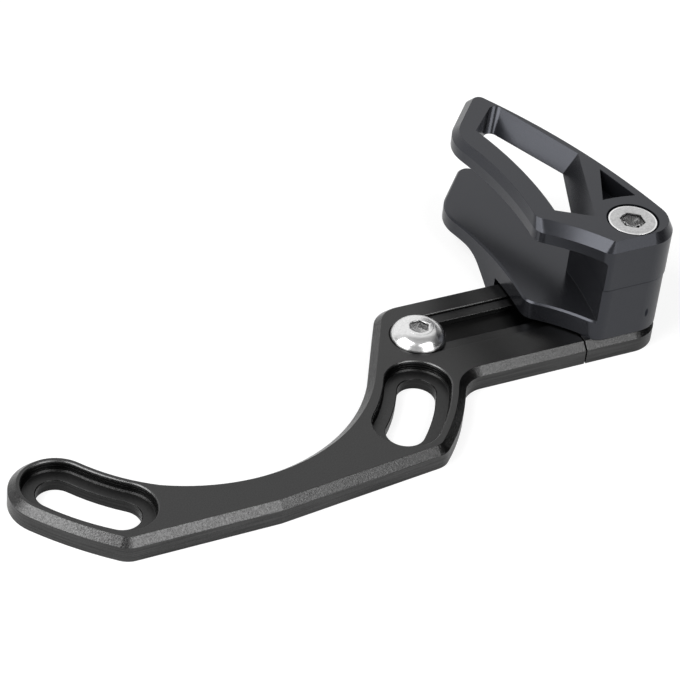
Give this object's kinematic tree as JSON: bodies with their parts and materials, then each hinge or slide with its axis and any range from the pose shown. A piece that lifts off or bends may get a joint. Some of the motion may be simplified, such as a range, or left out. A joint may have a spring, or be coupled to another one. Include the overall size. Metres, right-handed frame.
{
  "type": "bicycle chain guide",
  "caption": "Bicycle chain guide: slotted back plate round the crank axis, with a sliding arm end that carries a moulded cage over the chain.",
  "frame": {"origin": "the crank axis on the back plate's back face", "axes": "+X along the arm and the slider's travel, +Z along the crank axis away from the bicycle's frame"},
  "size_m": [0.1151, 0.0649, 0.023],
  "materials": {
    "anodised": "satin black anodised",
    "moulding": "fine matt moulding",
    "stainless": "bright stainless"
  },
  "bodies": {
    "plate": {"backplate": "anodised", "clamp_screw": "stainless"},
    "carrier": {"slider": "anodised", "inner_guide": "moulding", "outer_guide": "moulding", "guide_screw": "stainless"}
  },
  "joints": [
    {"name": "guide_slide", "type": "slide", "parent": "plate", "child": "carrier", "axis": [1, 0, 0], "range_m": [0, 0.004]}
  ]
}
